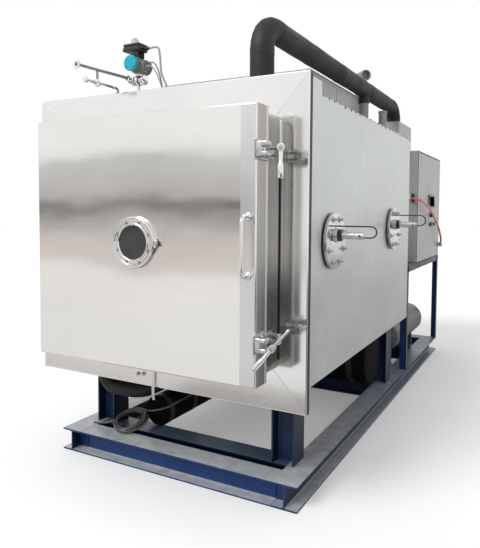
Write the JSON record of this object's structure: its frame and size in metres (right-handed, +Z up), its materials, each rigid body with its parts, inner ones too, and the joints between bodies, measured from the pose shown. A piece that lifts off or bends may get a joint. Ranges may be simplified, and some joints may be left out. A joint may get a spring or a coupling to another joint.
{
  "type": "production freeze dryer",
  "caption": "Box-shaped vacuum freeze dryer with a large hinged front door, clad chamber and control cabinet on a steel beam skid.",
  "frame": {"origin": "middle of the skid's underside, on the floor", "axes": "+Z up, +X to the right of someone facing the door, the door looks along -Y"},
  "size_m": [2.0189, 4.3833, 2.689],
  "materials": {
    "skid_side_beam_left": "deep blue enamel on rolled steel",
    "skid_side_beam_right": "deep blue enamel on rolled steel",
    "skid_front_beams": "deep blue enamel on rolled steel",
    "skid_mid_beam": "deep blue enamel on rolled steel",
    "skid_bearers": "deep blue enamel on rolled steel",
    "skid_rear_beam": "deep blue enamel on rolled steel",
    "front_legs": "deep blue enamel on rolled steel",
    "rear_legs": "deep blue enamel on rolled steel",
    "chamber_vessel": "matt rolled stainless steel",
    "mouth_ring": "brushed stainless steel",
    "bezel": "brushed stainless steel",
    "front_collar": "brushed stainless steel",
    "side_panels_left": "dull stainless cladding sheet",
    "side_panels_right": "dull stainless cladding sheet",
    "roof_panel": "dull stainless cladding sheet",
    "rear_panel": "dull stainless cladding sheet",
    "floor_tray": "matt black foam insulation",
    "shelf_rack": "matt rolled stainless steel",
    "shelves": "matt rolled stainless steel",
    "door_skin": "brushed stainless steel",
    "door_liner": "brushed stainless steel",
    "door_gasket": "matt black foam insulation",
    "viewport_ring": "polished stainless steel",
    "viewport_glass": "thick dark sight glass",
    "pull_handle": "polished stainless steel",
    "clamp_forks": "brushed stainless steel",
    "hinge_arms": "brushed stainless steel",
    "clamp_lugs": "brushed stainless steel",
    "hinge_brackets": "brushed stainless steel",
    "upper_swing_bolt": "polished stainless steel",
    "upper_t_bar": "polished stainless steel",
    "lower_swing_bolt": "polished stainless steel",
    "lower_t_bar": "polished stainless steel",
    "roof_housing": "light grey painted sheet",
    "insulated_pipe": "matt black foam insulation",
    "roof_pipes": "light grey painted sheet",
    "port_flanges": "polished stainless steel",
    "port_sensors": "polished stainless steel",
    "sensor_cables": "grey cable sheath",
    "inlet_pipe": "polished stainless steel",
    "inlet_valve_knob": "polished stainless steel",
    "steam_valve": "polished stainless steel",
    "valve_actuator": "anodised grey body with teal end caps",
    "switch_box": "black moulded plastic",
    "valve_hoses": "grey cable sheath",
    "cold_trap": "matt black foam insulation",
    "long_duct": "matt black foam insulation",
    "drain_line": "matt black foam insulation",
    "receiver_tank": "dark grey paint on a pressed tank",
    "refrigeration_housing": "light grey painted sheet",
    "cabinet_stand": "deep blue enamel on rolled steel",
    "cabinet_body": "light grey painted sheet",
    "cabinet_cover": "light grey painted sheet",
    "panel_meter": "black moulded plastic",
    "selector_switch": "black moulded plastic",
    "push_button_black": "black moulded plastic",
    "push_button_grey": "grey moulded plastic",
    "red_hose": "translucent red hose",
    "cable_coil": "grey cable sheath",
    "cable_ends": "grey cable sheath"
  },
  "bodies": {
    "frame": {"skid_side_beam_left": "skid_side_beam_left", "skid_side_beam_right": "skid_side_beam_right", "skid_front_beams": "skid_front_beams", "skid_mid_beam": "skid_mid_beam", "skid_bearers": "skid_bearers", "skid_rear_beam": "skid_rear_beam", "front_legs": "front_legs", "rear_legs": "rear_legs", "chamber_vessel": "chamber_vessel", "mouth_ring": "mouth_ring", "bezel": "bezel", "front_collar": "front_collar", "side_panels_left": "side_panels_left", "side_panels_right": "side_panels_right", "roof_panel": "roof_panel", "rear_panel": "rear_panel", "floor_tray": "floor_tray", "shelf_rack": "shelf_rack", "shelves": "shelves", "clamp_lugs": "clamp_lugs", "hinge_brackets": "hinge_brackets", "roof_housing": "roof_housing", "insulated_pipe": "insulated_pipe", "roof_pipes": "roof_pipes", "port_flanges": "port_flanges", "port_sensors": "port_sensors", "sensor_cables": "sensor_cables", "inlet_pipe": "inlet_pipe", "steam_valve": "steam_valve", "valve_actuator": "valve_actuator", "switch_box": "switch_box", "valve_hoses": "valve_hoses", "cold_trap": "cold_trap", "long_duct": "long_duct", "drain_line": "drain_line", "receiver_tank": "receiver_tank", "refrigeration_housing": "refrigeration_housing", "cabinet_stand": "cabinet_stand", "cabinet_body": "cabinet_body", "cabinet_cover": "cabinet_cover", "panel_meter": "panel_meter", "red_hose": "red_hose", "cable_coil": "cable_coil", "cable_ends": "cable_ends"},
    "door": {"door_skin": "door_skin", "door_liner": "door_liner", "door_gasket": "door_gasket", "viewport_ring": "viewport_ring", "viewport_glass": "viewport_glass", "pull_handle": "pull_handle", "clamp_forks": "clamp_forks", "hinge_arms": "hinge_arms"},
    "upper_bolt": {"upper_swing_bolt": "upper_swing_bolt"},
    "upper_nut": {"upper_t_bar": "upper_t_bar"},
    "lower_bolt": {"lower_swing_bolt": "lower_swing_bolt"},
    "lower_nut": {"lower_t_bar": "lower_t_bar"},
    "inlet_knob": {"inlet_valve_knob": "inlet_valve_knob"},
    "selector": {"selector_switch": "selector_switch"},
    "black_button": {"push_button_black": "push_button_black"},
    "grey_button": {"push_button_grey": "push_button_grey"}
  },
  "joints": [
    {"name": "door_hinge", "type": "hinge", "parent": "frame", "child": "door", "pos_m": [-0.677, -2.159, 1.376], "axis": [0, 0, -1], "range_deg": [0, 110]},
    {"name": "upper_bolt_swing", "type": "hinge", "parent": "frame", "child": "upper_bolt", "pos_m": [0.797, -2.181, 1.814], "axis": [0, 0, 1], "range_deg": [-25.5, 59.5]},
    {"name": "upper_nut_turn", "type": "hinge", "parent": "upper_bolt", "child": "upper_nut", "pos_m": [0.797, -2.181, 1.814], "axis": [0.4305, -0.9026, 0], "continuous": true},
    {"name": "lower_bolt_swing", "type": "hinge", "parent": "frame", "child": "lower_bolt", "pos_m": [0.797, -2.181, 0.938], "axis": [0, 0, 1], "range_deg": [-16.5, 68.5]},
    {"name": "lower_nut_turn", "type": "hinge", "parent": "lower_bolt", "child": "lower_nut", "pos_m": [0.797, -2.181, 0.938], "axis": [0.284, -0.9588, 0], "continuous": true},
    {"name": "inlet_knob_turn", "type": "hinge", "parent": "frame", "child": "inlet_knob", "pos_m": [-0.32918, -2.264, 2.243], "axis": [0, 1, 0], "range_deg": [0, 360]},
    {"name": "selector_turn", "type": "hinge", "parent": "frame", "child": "selector", "pos_m": [0.814, 1.462, 1.5], "axis": [1, 0, 0], "range_deg": [-45, 45]},
    {"name": "black_button_press", "type": "slide", "parent": "frame", "child": "black_button", "axis": [-1, 0, 0], "range_m": [0, 0.004], "stiffness_N_per_m": 600},
    {"name": "grey_button_press", "type": "slide", "parent": "frame", "child": "grey_button", "axis": [-1, 0, 0], "range_m": [0, 0.004], "stiffness_N_per_m": 600}
  ]
}
